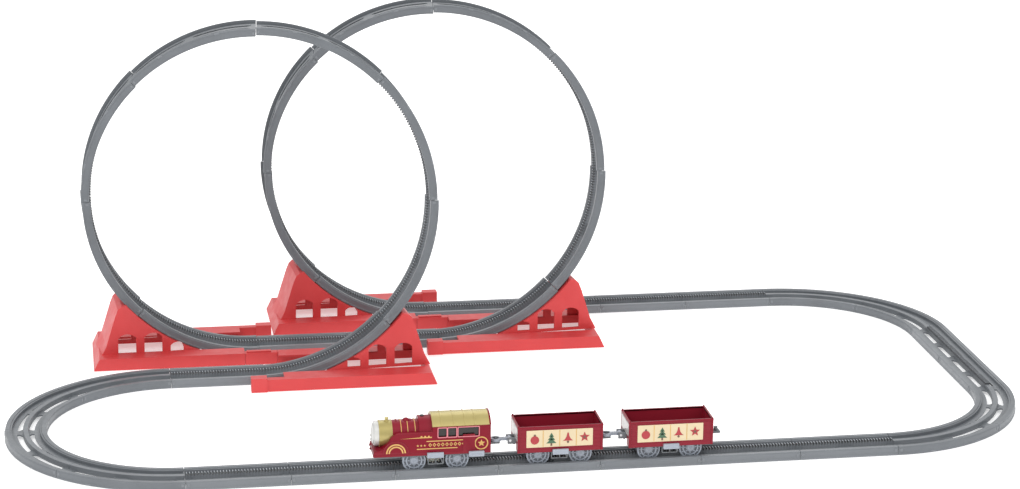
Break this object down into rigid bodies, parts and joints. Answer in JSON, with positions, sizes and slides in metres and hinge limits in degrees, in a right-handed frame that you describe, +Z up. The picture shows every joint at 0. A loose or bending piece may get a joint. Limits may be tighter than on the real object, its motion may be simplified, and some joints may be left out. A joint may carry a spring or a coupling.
{
  "type": "model train set",
  "caption": "Toy locomotive and open wagons on a closed clip-together track with vertical loops held by arched supports.",
  "frame": {"origin": "bottom centre of the bounding box, on the table under the set", "axes": "+X along the front straight, +Y from the front straight towards the loops, +Z up; the train faces -X"},
  "size_m": [1, 0.546, 0.3592],
  "materials": {
    "track_grey": "moulded, satin",
    "black_plastic": "matt",
    "coral_plastic": "moulded, satin",
    "crimson_gloss": "polished",
    "gold_lacquer": "sprayed gold lacquer",
    "window_dark": "polished",
    "silver_white": "pearl",
    "chassis_grey": "moulded, satin",
    "battery_wrap": "printed foil",
    "steel": "plated",
    "brass": "turned",
    "gear_nylon": "natural nylon",
    "wheel_grey": "moulded, satin",
    "printed_cream": "printed paper label"
  },
  "bodies": {
    "track": {"front_straight": "track_grey", "left_curve": "track_grey", "lane_a_straight": "track_grey", "lane_b_straight": "track_grey", "back_straight": "track_grey", "right_back_curve": "track_grey", "right_straight": "track_grey", "right_front_curve": "track_grey", "loop_1_track": "track_grey", "loop_2_track": "track_grey", "ground_clips": "black_plastic", "loop_1_clips": "black_plastic", "loop_2_clips": "black_plastic", "loop_1_front_support": "coral_plastic", "loop_1_rear_support": "coral_plastic", "loop_2_front_support": "coral_plastic", "loop_2_rear_support": "coral_plastic", "support_links": "coral_plastic"},
    "locomotive": {"loco_body": "crimson_gloss", "loco_windows": "window_dark", "smokebox_front": "silver_white", "smokebox_ring": "gold_lacquer", "loco_chassis": "chassis_grey", "battery": "battery_wrap", "battery_contacts": "steel", "motor": "steel", "reduction_pin": "steel", "switch_base": "black_plastic", "loco_screws": "steel"},
    "roof": {"loco_roof": "gold_lacquer"},
    "switch": {"switch_knob": "black_plastic"},
    "motor_pinion": {"motor_pinion": "brass"},
    "reduction_gear": {"reduction_gear": "gear_nylon"},
    "drive_gear": {"drive_gear": "gear_nylon"},
    "loco_front_wheelset": {"loco_front_wheels": "wheel_grey", "loco_front_axle": "steel"},
    "loco_rear_wheelset": {"loco_rear_wheels": "wheel_grey", "loco_rear_axle": "steel"},
    "wagon_1": {"wagon_1_tub": "crimson_gloss", "wagon_1_chassis": "chassis_grey", "wagon_1_panels": "printed_cream", "wagon_1_drawbar_pin": "steel", "wagon_1_screws": "steel"},
    "wagon_1_front_wheelset": {"wagon_1_front_wheels": "wheel_grey", "wagon_1_front_axle": "steel"},
    "wagon_1_rear_wheelset": {"wagon_1_rear_wheels": "wheel_grey", "wagon_1_rear_axle": "steel"},
    "wagon_1_drawbar": {"wagon_1_drawbar": "chassis_grey"},
    "wagon_2": {"wagon_2_tub": "crimson_gloss", "wagon_2_chassis": "chassis_grey", "wagon_2_panels": "printed_cream", "wagon_2_drawbar_pin": "steel", "wagon_2_screws": "steel"},
    "wagon_2_front_wheelset": {"wagon_2_front_wheels": "wheel_grey", "wagon_2_front_axle": "steel"},
    "wagon_2_rear_wheelset": {"wagon_2_rear_wheels": "wheel_grey", "wagon_2_rear_axle": "steel"},
    "wagon_2_drawbar": {"wagon_2_drawbar": "chassis_grey"}
  },
  "joints": [
    {"name": "train_travel", "type": "slide", "parent": "track", "child": "locomotive", "axis": [-1, 0, 0], "range_m": [-0.16, 0.16]},
    {"name": "roof_lift", "type": "slide", "parent": "locomotive", "child": "roof", "axis": [0, 0, 1], "range_m": [0, 0.03]},
    {"name": "switch_slide", "type": "slide", "parent": "locomotive", "child": "switch", "axis": [1, 0, 0], "range_m": [0, 0.0035]},
    {"name": "loco_front_wheel_roll", "type": "hinge", "parent": "locomotive", "child": "loco_front_wheelset", "pos_m": [-0.12612, -0.25275, 0.01565], "axis": [0, -1, 0], "continuous": true},
    {"name": "loco_rear_wheel_roll", "type": "hinge", "parent": "locomotive", "child": "loco_rear_wheelset", "pos_m": [-0.08612, -0.25275, 0.01565], "axis": [0, -1, 0], "continuous": true},
    {"name": "drive_gear_turn", "type": "hinge", "parent": "locomotive", "child": "drive_gear", "pos_m": [-0.10612, -0.25275, 0.01819], "axis": [0, -1, 0], "continuous": true},
    {"name": "reduction_turn", "type": "hinge", "parent": "locomotive", "child": "reduction_gear", "pos_m": [-0.11212, -0.25275, 0.02858], "axis": [0, -1, 0], "continuous": true},
    {"name": "motor_turn", "type": "hinge", "parent": "locomotive", "child": "motor_pinion", "pos_m": [-0.12434, -0.25275, 0.03303], "axis": [0, -1, 0], "continuous": true},
    {"name": "wagon_1_travel", "type": "slide", "parent": "track", "child": "wagon_1", "axis": [-1, 0, 0], "range_m": [-0.16, 0.16]},
    {"name": "wagon_1_front_wheel_roll", "type": "hinge", "parent": "wagon_1", "child": "wagon_1_front_wheelset", "pos_m": [-0.01012, -0.25275, 0.01565], "axis": [0, -1, 0], "continuous": true},
    {"name": "wagon_1_rear_wheel_roll", "type": "hinge", "parent": "wagon_1", "child": "wagon_1_rear_wheelset", "pos_m": [0.02988, -0.25275, 0.01565], "axis": [0, -1, 0], "continuous": true},
    {"name": "wagon_1_drawbar_lift", "type": "hinge", "parent": "wagon_1", "child": "wagon_1_drawbar", "pos_m": [-0.03512, -0.25275, 0.028], "axis": [0, 1, 0], "range_deg": [0, 25]},
    {"name": "wagon_2_travel", "type": "slide", "parent": "track", "child": "wagon_2", "axis": [-1, 0, 0], "range_m": [-0.16, 0.16]},
    {"name": "wagon_2_front_wheel_roll", "type": "hinge", "parent": "wagon_2", "child": "wagon_2_front_wheelset", "pos_m": [0.09488, -0.25275, 0.01565], "axis": [0, -1, 0], "continuous": true},
    {"name": "wagon_2_rear_wheel_roll", "type": "hinge", "parent": "wagon_2", "child": "wagon_2_rear_wheelset", "pos_m": [0.13488, -0.25275, 0.01565], "axis": [0, -1, 0], "continuous": true},
    {"name": "wagon_2_drawbar_lift", "type": "hinge", "parent": "wagon_2", "child": "wagon_2_drawbar", "pos_m": [0.06988, -0.25275, 0.028], "axis": [0, 1, 0], "range_deg": [0, 25]}
  ],
  "couplings": [
    {"joint": "loco_front_wheel_roll", "follows": "train_travel", "rad_per_m": 90.909},
    {"joint": "loco_rear_wheel_roll", "follows": "train_travel", "rad_per_m": 90.909},
    {"joint": "drive_gear_turn", "follows": "train_travel", "rad_per_m": 111.26},
    {"joint": "reduction_turn", "follows": "train_travel", "rad_per_m": -333.79},
    {"joint": "motor_turn", "follows": "train_travel", "rad_per_m": 1112.6},
    {"joint": "wagon_1_travel", "follows": "train_travel", "ratio": 1},
    {"joint": "wagon_1_front_wheel_roll", "follows": "train_travel", "rad_per_m": 90.909},
    {"joint": "wagon_1_rear_wheel_roll", "follows": "train_travel", "rad_per_m": 90.909},
    {"joint": "wagon_2_travel", "follows": "train_travel", "ratio": 1},
    {"joint": "wagon_2_front_wheel_roll", "follows": "train_travel", "rad_per_m": 90.909},
    {"joint": "wagon_2_rear_wheel_roll", "follows": "train_travel", "rad_per_m": 90.909}
  ]
}
